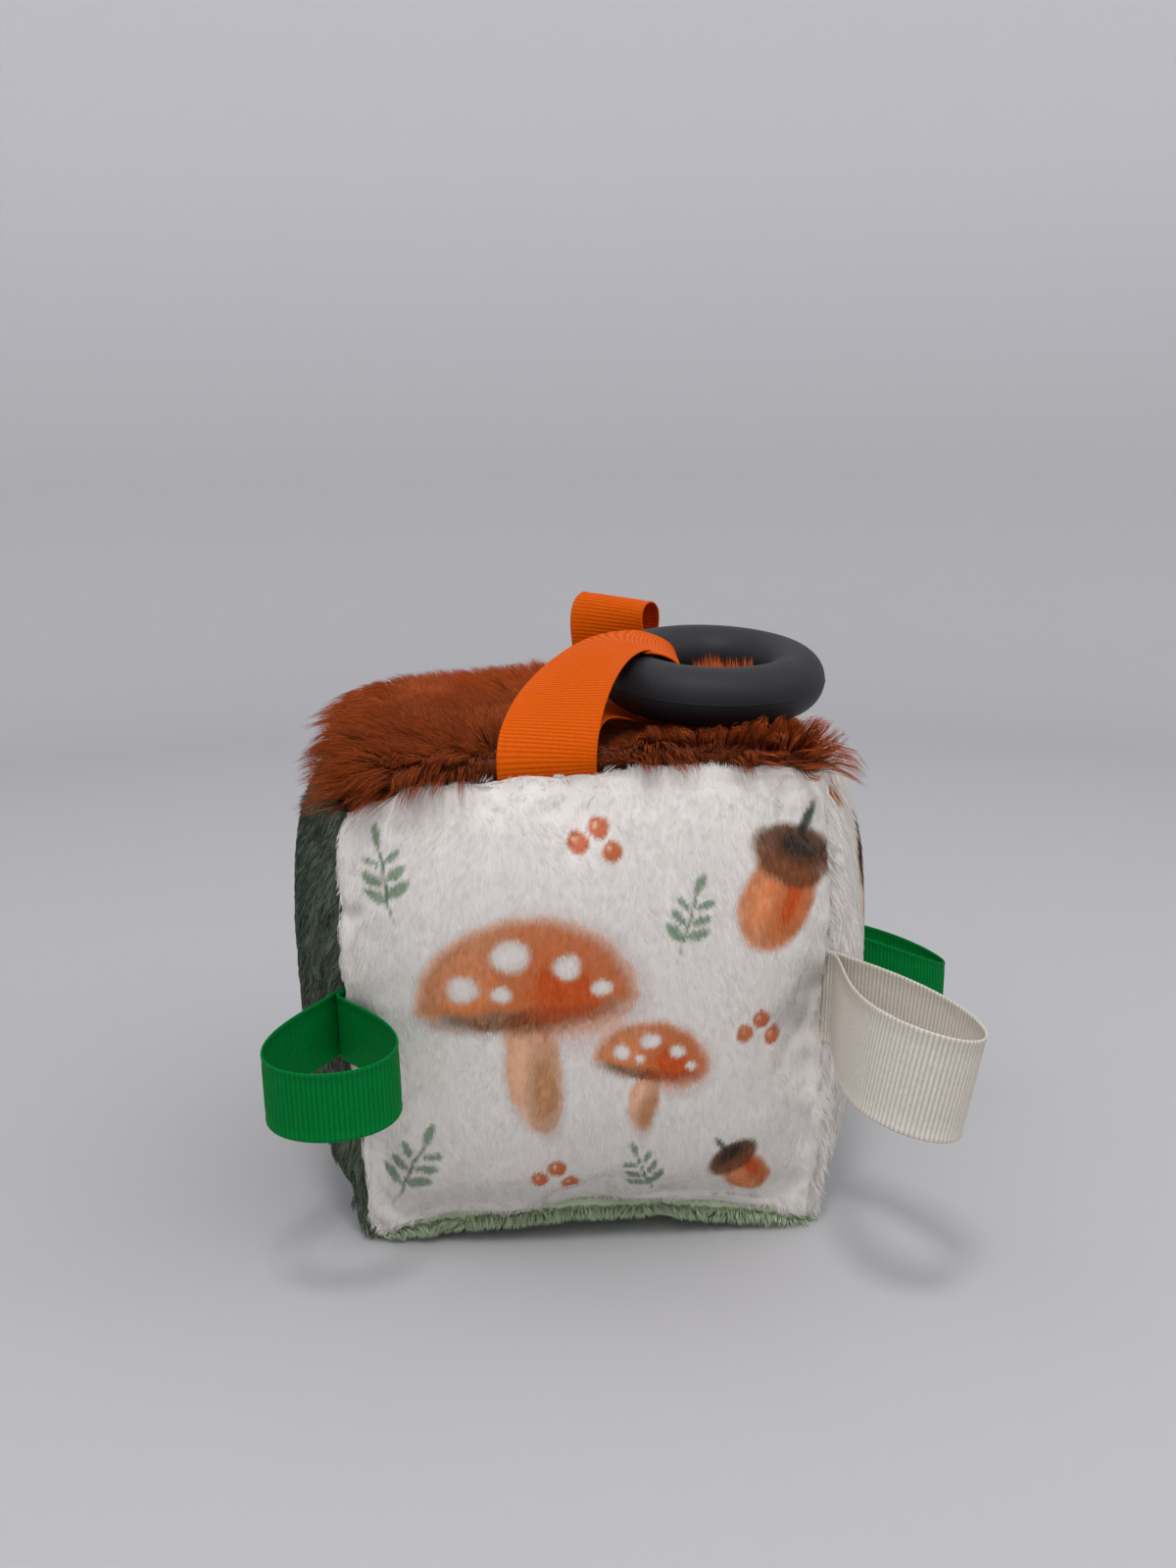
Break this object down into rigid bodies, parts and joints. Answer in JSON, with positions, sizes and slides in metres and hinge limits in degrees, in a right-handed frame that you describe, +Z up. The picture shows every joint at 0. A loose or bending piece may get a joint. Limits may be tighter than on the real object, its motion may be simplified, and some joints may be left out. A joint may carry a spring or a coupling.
{
  "type": "soft fabric block",
  "caption": "Soft stuffed plush cube for a baby, with folded grosgrain ribbon loops sewn into its seams and a silicone teething ring on one of them.",
  "frame": {"origin": "centre of the flat patch that the block stands on", "axes": "+Z up, +Y from the front face (the one under the ring's ribbon) to the back, +X to the right as seen from the front"},
  "size_m": [0.1809, 0.1753, 0.1411],
  "materials": {
    "ivory_plush": "short plush pile, off-white with a printed pattern",
    "moss_plush": "short plush pile, dark grey-green",
    "rust_fur": "long faux fur, rust brown",
    "sage_plush": "short fuzzy plush, light sage green",
    "polyester_fill": "white polyester fibre",
    "orange_grosgrain": "ribbed grosgrain ribbon, orange",
    "green_grosgrain": "ribbed grosgrain ribbon, green",
    "cream_grosgrain": "ribbed grosgrain ribbon, cream",
    "charcoal_silicone": "matte charcoal silicone"
  },
  "bodies": {
    "block": {"panel_front": "ivory_plush", "panel_back": "moss_plush", "panel_right": "ivory_plush", "panel_left": "moss_plush", "panel_top": "rust_fur", "panel_bottom": "sage_plush", "fibre_fill": "polyester_fill", "ring_ribbon_tail": "orange_grosgrain", "rear_loop_tail": "orange_grosgrain", "left_loop_tail": "green_grosgrain", "right_loop_tail": "cream_grosgrain", "right_rear_loop_tail": "green_grosgrain"},
    "ring_ribbon": {"ring_ribbon": "orange_grosgrain"},
    "teething_ring": {"teething_ring": "charcoal_silicone"},
    "rear_loop": {"rear_loop": "orange_grosgrain"},
    "left_loop": {"left_loop": "green_grosgrain"},
    "right_loop": {"right_loop": "cream_grosgrain"},
    "right_rear_loop": {"right_rear_loop": "green_grosgrain"}
  },
  "joints": [
    {"name": "ring_ribbon_flip", "type": "hinge", "parent": "block", "child": "ring_ribbon", "pos_m": [-0.00812, -0.05712, 0.11199], "axis": [0.9985, -0.0007, 0.0544], "range_deg": [0, 110]},
    {"name": "teething_ring_turn", "type": "hinge", "parent": "ring_ribbon", "child": "teething_ring", "pos_m": [0.0337, -0.016, 0.12695], "axis": [0.0259, -0.1392, 0.9899], "continuous": true},
    {"name": "rear_loop_bend", "type": "hinge", "parent": "block", "child": "rear_loop", "pos_m": [0.01595, 0.0571, 0.1131], "axis": [1, -0.0054, -0.0054], "range_deg": [-110, 5], "stiffness_Nm_per_rad": 0.003},
    {"name": "left_loop_bend", "type": "hinge", "parent": "block", "child": "left_loop", "pos_m": [-0.05649, -0.05649, 0.05489], "axis": [-0.025, -0.025, 0.9994], "range_deg": [-110, 15], "stiffness_Nm_per_rad": 0.003},
    {"name": "right_loop_bend", "type": "hinge", "parent": "block", "child": "right_loop", "pos_m": [0.05648, -0.05648, 0.05737], "axis": [0.0238, -0.0238, 0.9994], "range_deg": [-35, 95], "stiffness_Nm_per_rad": 0.003},
    {"name": "right_rear_loop_bend", "type": "hinge", "parent": "block", "child": "right_rear_loop", "pos_m": [0.05591, 0.05591, 0.03879], "axis": [0.0431, 0.0431, 0.9981], "range_deg": [-5, 120], "stiffness_Nm_per_rad": 0.003}
  ]
}
